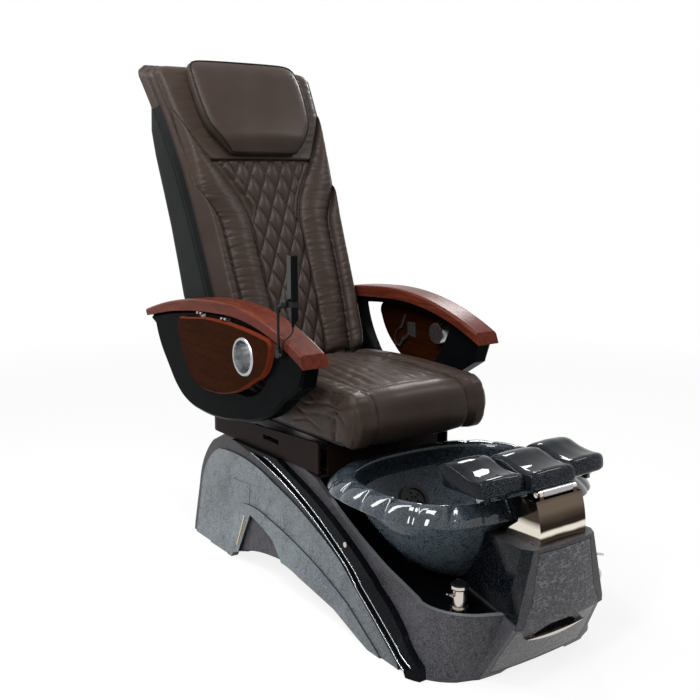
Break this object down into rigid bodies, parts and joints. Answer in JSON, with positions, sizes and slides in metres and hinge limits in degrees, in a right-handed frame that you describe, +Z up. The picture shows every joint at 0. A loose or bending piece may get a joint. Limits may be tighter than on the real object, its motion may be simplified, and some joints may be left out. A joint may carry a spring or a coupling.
{
  "type": "pedicure spa chair",
  "caption": "Reclining massage chair with padded seat, fold-up side trays and a wired remote, on a sliding base with a foot-bath bowl and footrest.",
  "frame": {"origin": "on the floor, under the middle of the whole chair's box", "axes": "+Z up, the chair faces -Y, +X is the sitter's left"},
  "size_m": [0.7063, 1.6157, 1.5023],
  "materials": {
    "base_moulding": "satin moulding with a fine leathery veined texture",
    "channel_gloss": "deep blue-black gloss",
    "gold_trim": "polished pale gold",
    "bowl_gloss": "blue-black gloss with fine paler veins",
    "deck_gloss": "black gloss",
    "polished_chrome": "mirror polished",
    "cup_metal": "spun and satin",
    "frame_steel": "bare steel, brushed",
    "painted_frame": "black powder coat",
    "black_plastic": "moulded black",
    "roller_rubber": "soft moulded tread",
    "shroud_board": "dark brown laminate",
    "shell_plastic": "greenish black, fine grain",
    "seat_leather": "dark brown upholstery, fine grain, sewn in channels",
    "cherry_cap": "reddish lacquered cherry",
    "dark_wood": "dark red-brown lacquer",
    "arm_black": "satin greenish black",
    "remote_gloss": "black gloss",
    "button_grey": "soft grey keys",
    "cord_black": "black sheath"
  },
  "bodies": {
    "base": {"base_shell": "base_moulding", "side_cover_left": "base_moulding", "side_cover_right": "base_moulding", "channel_trims": "channel_gloss", "recess_strips": "gold_trim", "trim_studs": "polished_chrome", "bowl": "bowl_gloss", "deck_liner": "deck_gloss", "bowl_drain": "polished_chrome", "jet_cover": "black_plastic", "jet_housing": "black_plastic", "sprayer_holder": "polished_chrome", "mixer_body": "black_plastic", "drain_pump": "black_plastic", "footrest_bracket": "polished_chrome", "footrest_bar": "polished_chrome", "seat_shroud": "shroud_board", "slide_rails": "frame_steel"},
    "panel": {"access_panel": "base_moulding", "panel_handle": "polished_chrome"},
    "stopper": {"drain_stopper": "polished_chrome"},
    "impeller": {"jet_impeller": "black_plastic"},
    "sprayer": {"sprayer_body": "polished_chrome", "sprayer_face": "black_plastic"},
    "spray_lever": {"sprayer_lever": "polished_chrome"},
    "mixer_stick": {"mixer_lever": "polished_chrome"},
    "diverter": {"diverter_knob": "polished_chrome"},
    "footrest": {"footrest_plate": "frame_steel", "foot_pad_centre": "bowl_gloss"},
    "left_foot_pad": {"foot_pad_left": "bowl_gloss"},
    "right_foot_pad": {"foot_pad_right": "bowl_gloss"},
    "seat": {"seat_frame": "painted_frame", "seat_cushion": "seat_leather", "arm_frame_left": "arm_black", "arm_frame_right": "arm_black", "arm_cap_left": "cherry_cap", "arm_cap_right": "cherry_cap", "tray_hinges": "frame_steel", "recline_actuator": "painted_frame", "remote_stand": "polished_chrome", "remote_cord": "cord_black"},
    "drive_rod": {"recline_rod": "frame_steel"},
    "left_tray": {"tray_left": "dark_wood", "cup_holder_left": "cup_metal", "tray_stay_left": "frame_steel"},
    "right_tray": {"tray_right": "dark_wood", "cup_holder_right": "cup_metal", "tray_stay_right": "frame_steel"},
    "remote": {"remote_cradle": "black_plastic", "remote_body": "remote_gloss"},
    "power_button": {"remote_button_power": "button_grey"},
    "up_button": {"remote_button_up": "button_grey"},
    "down_button": {"remote_button_down": "button_grey"},
    "back": {"back_cushion": "seat_leather", "head_pillow": "seat_leather", "back_shell": "shell_plastic", "back_frame": "painted_frame"},
    "carriage": {"massage_carriage": "black_plastic"},
    "low_rollers": {"massage_rollers_low": "roller_rubber"},
    "high_rollers": {"massage_rollers_high": "roller_rubber"}
  },
  "joints": [
    {"name": "panel_pull", "type": "slide", "parent": "base", "child": "panel", "axis": [0, -1, 0], "range_m": [0, 0.06]},
    {"name": "stopper_lift", "type": "slide", "parent": "base", "child": "stopper", "axis": [0, 0, 1], "range_m": [0, 0.004]},
    {"name": "jet_spin", "type": "hinge", "parent": "base", "child": "impeller", "pos_m": [0, -0.23877, 0.268], "axis": [0, 0.848, -0.5299], "continuous": true},
    {"name": "sprayer_lift", "type": "slide", "parent": "base", "child": "sprayer", "axis": [0, 0, 1], "range_m": [0, 0.12]},
    {"name": "sprayer_squeeze", "type": "hinge", "parent": "sprayer", "child": "spray_lever", "pos_m": [-0.21, -0.64321, 0.198], "axis": [0, -1, 0], "range_deg": [0, 12], "stiffness_Nm_per_rad": 0.05},
    {"name": "mixer_turn", "type": "hinge", "parent": "base", "child": "mixer_stick", "pos_m": [0.12, -0.76221, 0.262], "axis": [1, 0, 0], "range_deg": [-45, 45]},
    {"name": "diverter_turn", "type": "hinge", "parent": "base", "child": "diverter", "pos_m": [0.13, -0.76221, 0.204], "axis": [1, 0, 0], "range_deg": [-90, 90]},
    {"name": "footrest_flip", "type": "hinge", "parent": "base", "child": "footrest", "pos_m": [0, -0.75821, 0.443], "axis": [1, 0, 0], "range_deg": [0, 100]},
    {"name": "left_pad_tilt", "type": "hinge", "parent": "footrest", "child": "left_foot_pad", "pos_m": [0.14, -0.69821, 0.44], "axis": [1, 0, 0], "range_deg": [-15, 15]},
    {"name": "right_pad_tilt", "type": "hinge", "parent": "footrest", "child": "right_foot_pad", "pos_m": [-0.14, -0.69821, 0.44], "axis": [1, 0, 0], "range_deg": [-15, 15]},
    {"name": "seat_slide", "type": "slide", "parent": "base", "child": "seat", "axis": [0, 1, 0], "range_m": [-0.05, 0.06]},
    {"name": "backrest_recline", "type": "hinge", "parent": "seat", "child": "back", "pos_m": [0, 0.37979, 0.522], "axis": [-1, 0, 0], "range_deg": [0, 32]},
    {"name": "drive_rod_travel", "type": "slide", "parent": "seat", "child": "drive_rod", "axis": [0, -1, 0], "range_m": [0, 0.0498]},
    {"name": "left_tray_flip", "type": "hinge", "parent": "seat", "child": "left_tray", "pos_m": [0.339, 0.15379, 0.7575], "axis": [0, -1, 0], "range_deg": [0, 90]},
    {"name": "right_tray_flip", "type": "hinge", "parent": "seat", "child": "right_tray", "pos_m": [-0.339, 0.26179, 0.7575], "axis": [0, 1, 0], "range_deg": [0, 90]},
    {"name": "remote_swivel", "type": "hinge", "parent": "seat", "child": "remote", "pos_m": [-0.348, -0.11421, 0.82], "axis": [0, 0, 1], "range_deg": [-30, 30]},
    {"name": "press_power", "type": "slide", "parent": "remote", "child": "power_button", "axis": [-0.9659, 0.2588, 0], "range_m": [0, 0.0012], "stiffness_N_per_m": 300},
    {"name": "press_up", "type": "slide", "parent": "remote", "child": "up_button", "axis": [-0.9659, 0.2588, 0], "range_m": [0, 0.0012], "stiffness_N_per_m": 300},
    {"name": "press_down", "type": "slide", "parent": "remote", "child": "down_button", "axis": [-0.9659, 0.2588, 0], "range_m": [0, 0.0012], "stiffness_N_per_m": 300},
    {"name": "carriage_travel", "type": "slide", "parent": "back", "child": "carriage", "axis": [0, 0.3746, 0.9272], "range_m": [-0.228, 0.298]},
    {"name": "low_rollers_spin", "type": "hinge", "parent": "carriage", "child": "low_rollers", "pos_m": [0, 0.51683, 0.8932], "axis": [1, 0, 0], "continuous": true},
    {"name": "high_rollers_spin", "type": "hinge", "parent": "carriage", "child": "high_rollers", "pos_m": [0, 0.5498, 0.97479], "axis": [1, 0, 0], "continuous": true}
  ],
  "couplings": [
    {"joint": "drive_rod_travel", "follows": "backrest_recline", "m_per_rad": 0.0888}
  ]
}
